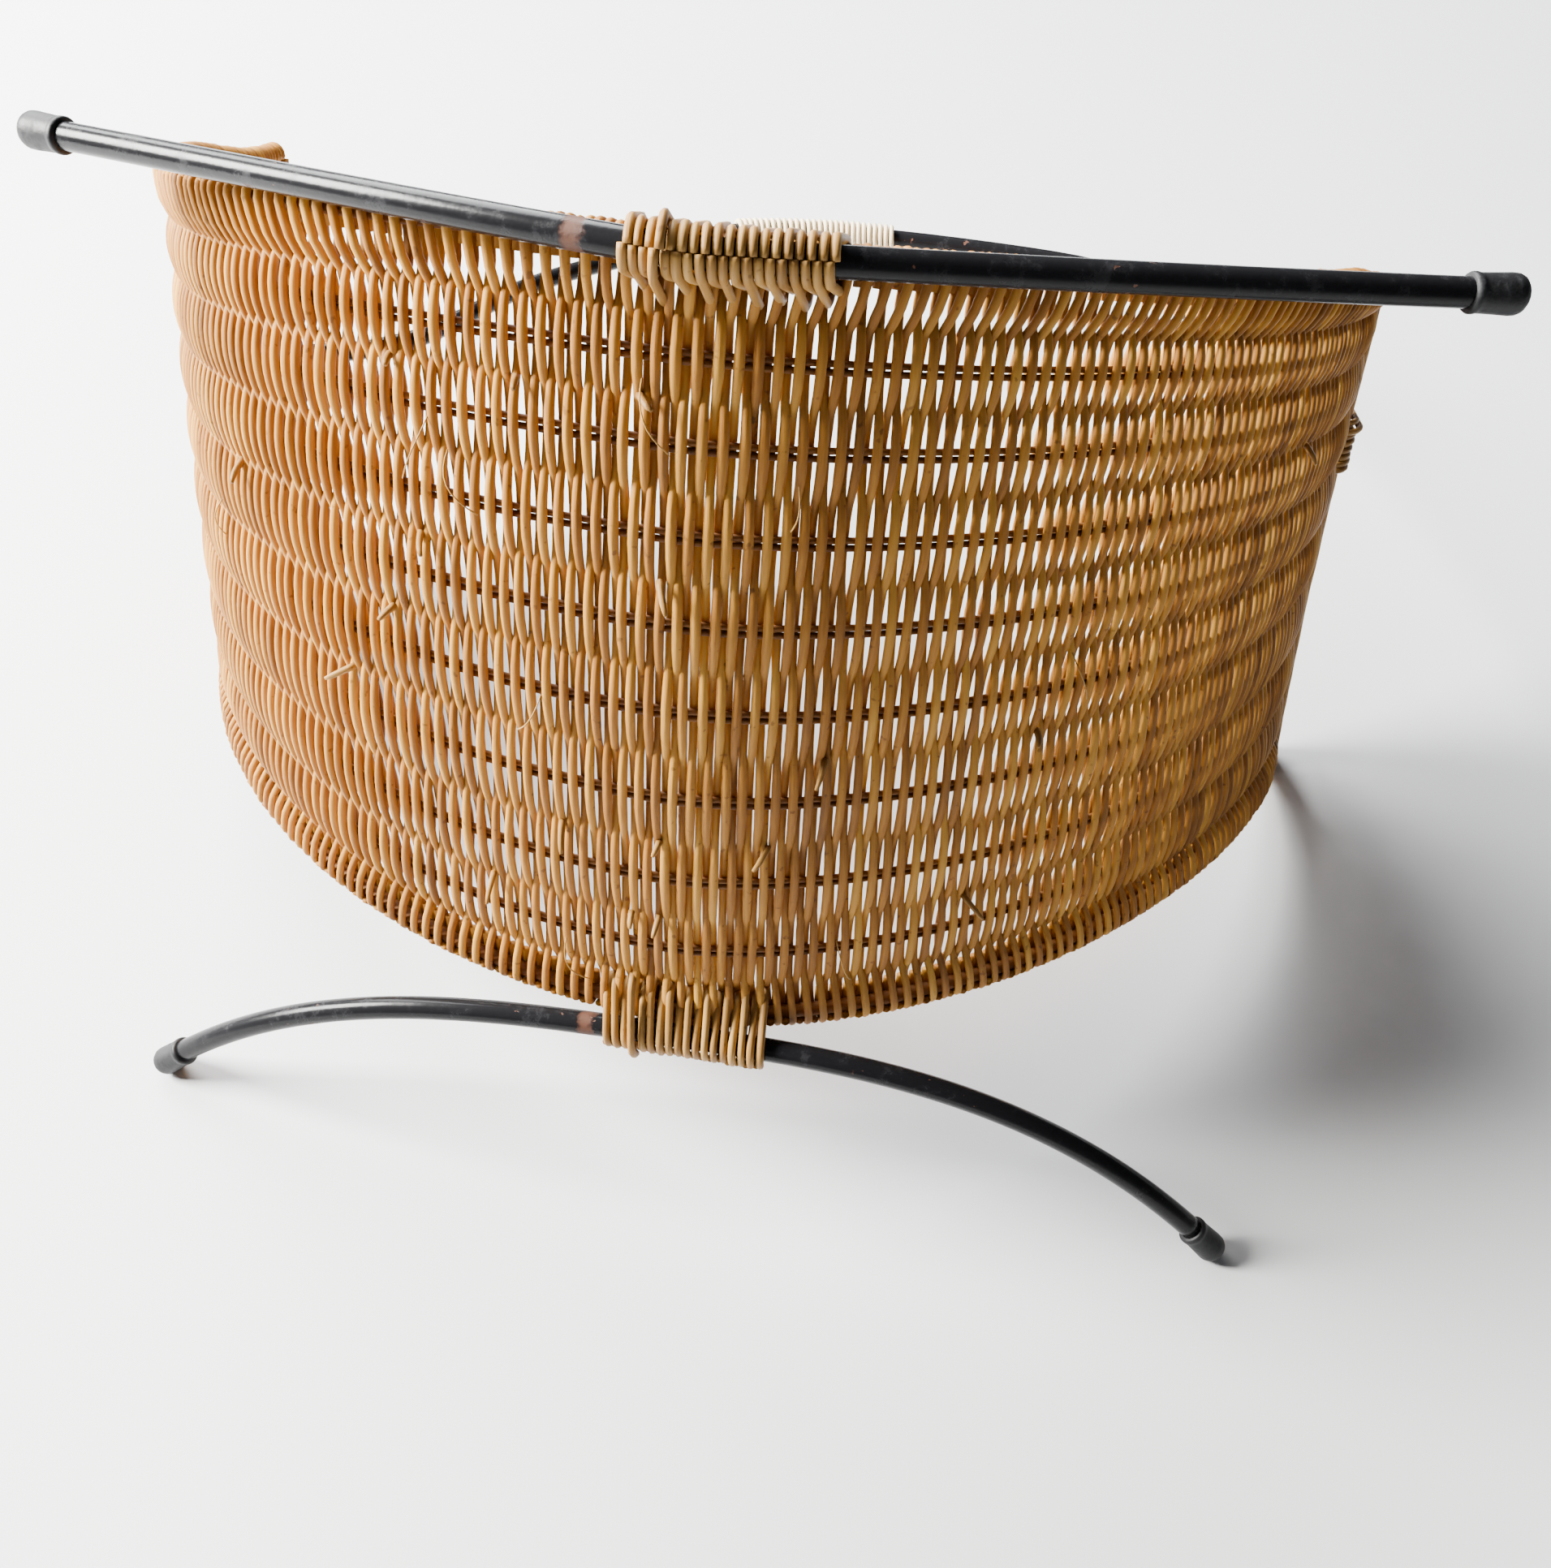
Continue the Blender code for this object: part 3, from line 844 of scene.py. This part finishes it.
@dataclass
class Handle:
    """The steel arch, its coiled grip, and the toes that lie along the side rails."""

    trough: Trough
    toe: float = 0.060
    lift: float = 0.0137
    grip: tuple[float, float] = (-0.076, 0.022)
    rod: float = 0.0050
    turns: int = 28
    arch_foot: float = 0.0389
    arch_slant: float = 0.090
    arch_lean: float = 0.150
    arch_low: float = 0.295
    arch: tuple[tuple[float, float], ...] = (
        (-0.268, 0.318), (-0.250, 0.325), (-0.233, 0.337), (-0.218, 0.353), (-0.199, 0.388),
        (-0.182, 0.418), (-0.159, 0.446), (-0.134, 0.470), (-0.105, 0.501), (-0.075, 0.523),
        (-0.027, 0.536), (0.021, 0.541), (0.071, 0.542), (0.121, 0.540), (0.150, 0.534),
        (0.180, 0.517), (0.206, 0.488), (0.226, 0.450), (0.240, 0.408), (0.250, 0.368), (0.257, 0.338),
    )

    def line(self) -> list[Vector]:
        """The rod's centre line, smooth through its own points.

        Returns:
            The line from the left toe over the arch to the right toe.
        """
        up = Vector((0.0, 0.0, self.lift))
        stops = (0.0, -0.008, -0.020, -0.040, -self.toe)
        left = [self.trough.surface(-1.0, along) + up for along in stops]
        right = [self.trough.surface(1.0, along) + up for along in stops]
        arch = []
        for x, z in self.arch:
            along = self.arch_foot + self.arch_slant * x - self.arch_lean * (z - self.arch_low)
            arch.append(Vector((x, along, z)))
        points = [*reversed(left), *arch, *right]
        padded = [2 * points[0] - points[1], *points, 2 * points[-1] - points[-2]]
        line = []
        for before, start, end, after in zip(padded, padded[1:], padded[2:], padded[3:]):
            for i in range(8):
                t = i / 8.0
                line.append(0.5 * (2 * start + (end - before) * t
                                   + (2 * before - 5 * start + 4 * end - after) * t**2
                                   + (3 * start - before - 3 * end + after) * t**3))
        return [*line, points[-1]]

    def build(self, paint: bpy.types.Material, pale: bpy.types.Material,
              cane: bpy.types.Material) -> None:
        """Builds the rod, the coil of the grip and the two lashings.

        Args:
            paint: The rod's material.
            pale: The grip's material.
            cane: The lashings' material.
        """
        line = self.line()
        rod = Strands("handle_steel", self.trough, 16)
        rod.lay(line, self.rod, 0.5)
        rod.finish(paint, "black_steel", "handle_rod")
        self.coil([spot for spot in line if self.grip[0] <= spot.x <= self.grip[1] and spot.z > 0.5], pale)
        for word, side in (("left", -1.0), ("right", 1.0)):
            rail = [self.trough.surface(side, along) for along in (-0.060, -0.049, -0.038, -0.028)]
            rods = [spot + Vector((0.0, 0.0, self.lift)) for spot in rail]
            tie = Lashing(f"{word}_handle_turns", f"{word}_handle_lashing", 8, held=0.0068)
            tie.build(self.trough, rail, rods, Vector((0.0, 0.0, 0.0)), cane)

    def coil(self, held: list[Vector], pale: bpy.types.Material) -> None:
        """Winds the grip's coil.

        Args:
            held: The stretch of the rod's centre line under the grip.
            pale: The coil's material.
        """
        piece = Strands("handle_grip_coil", self.trough, 8)
        chance = random.Random(5)
        points = []
        for step in range(self.turns * 16 + 1):
            place = step / (self.turns * 16)
            way = Lashing.way_of(held, place, 0.02)
            side = way.cross(Vector((0.0, 1.0, 0.0))).normalized()
            angle = 2.0 * math.pi * step / 16.0
            ring = side * math.cos(angle) + way.cross(side) * math.sin(angle)
            points.append(Lashing.at(held, place) + ring * 0.0064)
        piece.lay(points, [0.0015 * chance.uniform(0.95, 1.05) for _ in points], 0.6, 1.15)
        piece.finish(pale, "pale_cane_grip", "handle_grip_wrap")


@dataclass(frozen=True)
class Lamp:
    """A square area light that points at the basket."""

    name: str
    place: Vector
    size: float
    power: float
    colour: tuple[float, float, float]

    def hang(self) -> None:
        """Adds the lamp to the scene."""
        light = bpy.data.lights.new(self.name, "AREA")
        light.size = self.size
        light.energy = self.power
        light.color = self.colour
        lamp = bpy.data.objects.new(self.name, light)
        aim = (Vector((0.0, 0.0, 0.15)) - self.place).to_track_quat("-Z", "Y").to_matrix().to_4x4()
        lamp.matrix_world = Matrix.Translation(self.place) @ aim
        bpy.context.scene.collection.objects.link(lamp)


LAMPS = (
    Lamp("window", Vector((-1.9, 0.25, 1.25)), 0.9, 500.0, (1.0, 0.985, 0.95)),
    Lamp("far_wall", Vector((-1.2, 2.3, 2.0)), 2.0, 400.0, (0.98, 0.99, 1.0)),
    Lamp("front_fill", Vector((-1.0, -1.8, 1.5)), 1.6, 3.0, (1.0, 0.99, 0.97)),
)


@dataclass
class Studio:
    """The camera, the floor and the light."""

    trough: Trough
    eye: Vector = field(default_factory=lambda: Vector((0.12488, -0.29469, -0.48580)))
    ahead: Vector = field(default_factory=lambda: Vector((-0.14609, 0.56920, 0.80911)))
    right: Vector = field(default_factory=lambda: Vector((0.98565, 0.01385, 0.16823)))
    lens: float = 37.27

    def build(self) -> None:
        """Sets the camera, lays the floor and hangs the lights."""
        self.set_camera()
        self.lay_floor()
        for lamp in LAMPS:
            lamp.hang()
        world = bpy.data.worlds.new("soft_room")
        world.use_nodes = True
        sky = world.node_tree.nodes["Background"]
        sky.inputs["Color"].default_value = (0.90, 0.93, 1.0, 1.0)
        sky.inputs["Strength"].default_value = 0.09
        bpy.context.scene.world = world

    def set_camera(self) -> None:
        """Sets the camera in front of the basket's underside, above its lower bow."""
        turn = self.trough.pose.to_3x3()
        ahead, right = (turn @ self.ahead).normalized(), (turn @ self.right).normalized()
        up = right.cross(ahead).normalized()
        camera = bpy.data.objects.new("camera", bpy.data.cameras.new("camera"))
        camera.data.lens = self.lens
        camera.data.sensor_width = 36.0
        camera.data.clip_start = 0.01
        facing = Matrix((right, up, -ahead)).transposed().to_4x4()
        camera.matrix_world = Matrix.Translation(self.trough.pose @ self.eye) @ facing
        bpy.context.scene.collection.objects.link(camera)
        bpy.context.scene.camera = camera

    def lay_floor(self) -> None:
        """Lays the floor."""
        plane = bmesh.new()
        bmesh.ops.create_grid(plane, x_segments=1, y_segments=1, size=6.0)
        mesh = bpy.data.meshes.new("floor")
        plane.to_mesh(mesh)
        plane.free()
        mesh.materials.append(FloorFinish().material())
        floor = bpy.data.objects.new("floor", mesh)
        bpy.context.scene.collection.objects.link(floor)


@dataclass
class Wear:
    """Broken strand ends and stray fibres."""

    trough: Trough
    stubs: int = 18
    fibres: int = 9

    def build(self, cane: bpy.types.Material) -> None:
        """Builds the stubs and fibres as one piece.

        Args:
            cane: The material of the strand ends.
        """
        chance = random.Random(29)
        piece = Strands("stray_ends", self.trough, 6)
        for _ in range(self.stubs):
            piece.lay(self.stub(chance), [0.0014, 0.0014, 0.0013, 0.0012, 0.0010, 0.0007],
                      chance.uniform(0.1, 0.6))
        for _ in range(self.fibres):
            piece.lay(self.fibre(chance), 0.00028, 0.9)
        piece.finish(cane, "rattan_weave")

    def stub(self, chance: random.Random) -> list[Vector]:
        """The centre line of a broken end that stands out of a crossing.

        Args:
            chance: The source of its place and bend.

        Returns:
            The line.
        """
        share, along = chance.gauss(0.08, 0.22), chance.choice(self.trough.crossings[1:8])
        start = self.trough.lifted(share, along, 0.001)
        across, down, out = self.trough.axes(share, along)
        way = across * chance.uniform(-0.9, 0.9) + down * chance.uniform(0.3, 1.0) + out * 0.45
        way.normalize()
        length = chance.uniform(0.004, 0.011)
        return [start + way * length * i / 5.0 + out * 0.004 * math.sin(1.6 * i / 5.0) for i in range(6)]

    def fibre(self, chance: random.Random) -> list[Vector]:
        """The centre line of a loose fibre.

        Args:
            chance: The source of its place and bend.

        Returns:
            The line.
        """
        share, along = chance.uniform(-0.5, 0.6), chance.uniform(-0.12, 0.14)
        across, down, out = self.trough.axes(share, along)
        start = self.trough.lifted(share, along, 0.0035)
        bend, length = chance.uniform(-1.0, 1.0), chance.uniform(0.014, 0.030)
        line = []
        for i in range(9):
            aside = across * bend * (0.1 * i) ** 2 + out * 0.3 * math.sin(0.35 * i)
            line.append(start + (down * i * 0.12 + aside) * length)
        return line


UPPER_BOW = Bow(
    name="upper_bow", centre=Vector((0.0139, -0.1522, -0.0168)), half_span=0.2577, rise=0.0815, power=1.110,
    skew=0.057, towards=0.109, yaw=0.041, tilt=0.066, stand_off=0.014)
LOWER_BOW = Bow(
    name="lower_bow", centre=Vector((-0.0141, 0.1771, -0.0028)), half_span=0.2440, rise=0.0881, power=2.995,
    skew=0.117, towards=1.426, yaw=-0.005, tilt=0.054, stand_off=0.0)

WEAVE_FINISH = CaneFinish(
    "rattan_weave_look", (0.055, 0.018, 0.003), (0.33, 0.132, 0.016), (0.62, 0.320, 0.045), roughness=0.62)
STAKE_FINISH = CaneFinish(
    "rattan_stake_look", (0.040, 0.013, 0.002), (0.15, 0.054, 0.009), (0.28, 0.12, 0.024), roughness=0.62)
CANE_FINISH = CaneFinish(
    "cane_lashing_look", (0.075, 0.030, 0.007), (0.29, 0.145, 0.033), (0.52, 0.30, 0.080), 0.5, stains=0.4)
PALE_FINISH = CaneFinish(
    "pale_cane_look", (0.45, 0.33, 0.17), (0.74, 0.60, 0.38), (0.88, 0.78, 0.56), 0.45, stains=0.1)


def tie_bow(bow: Bow, rim: float, span: tuple[float, float], turns: int, trough: Trough,
            cane: bpy.types.Material) -> None:
    """Lashes a bow's rod to a rim.

    Args:
        bow: The bow.
        rim: The rim's station along the trough.
        span: The lashing's two ends across the trough.
        turns: The number of turns of cane.
        trough: The trough that the rim belongs to.
        cane: The lashing's material.
    """
    places = [span[0] + (span[1] - span[0]) * i / 12.0 for i in range(13)]
    edge = [trough.surface(i / 400.0, rim) for i in range(-200, 201)]
    rims = [min(edge, key=lambda spot, x=x: abs(spot.x - x)) for x in places]
    rods = [bow.point(bow.share_at(x)) for x in places]
    tie = Lashing(f"{bow.name}_turns", f"{bow.name}_lashing", turns, long_turn=0.006)
    tie.build(trough, rims, rods, Vector((0.0, -math.copysign(1.0, rim), 0.0)), cane)


def main() -> None:
    """Builds the basket and its surroundings."""
    logging.basicConfig(level=logging.INFO)
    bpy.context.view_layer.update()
    trough = Trough()
    weave, stake, cane = WEAVE_FINISH.material(), STAKE_FINISH.material(), CANE_FINISH.material()
    bare = [(UPPER_BOW, -0.0200), (LOWER_BOW, -0.0440)]
    spots = tuple(trough.pose @ bow.point(bow.share_at(x)) for bow, x in bare)
    paint = PaintFinish("worn_black_paint", spots).material()
    rubber = RubberFinish("scuffed_rubber").material()
    Studio(trough).build()
    Weave(trough).build(weave, stake)
    UPPER_BOW.build(trough, paint, rubber)
    tie_bow(UPPER_BOW, trough.upper_rim, (-0.005, 0.060), 19, trough, cane)
    LOWER_BOW.build(trough, paint, rubber)
    tie_bow(LOWER_BOW, trough.lower_rim, (-0.037, 0.031), 18, trough, cane)
    Handle(trough).build(paint, PALE_FINISH.material(), cane)
    Wear(trough).build(cane)


if __name__ == "__main__":
    main()
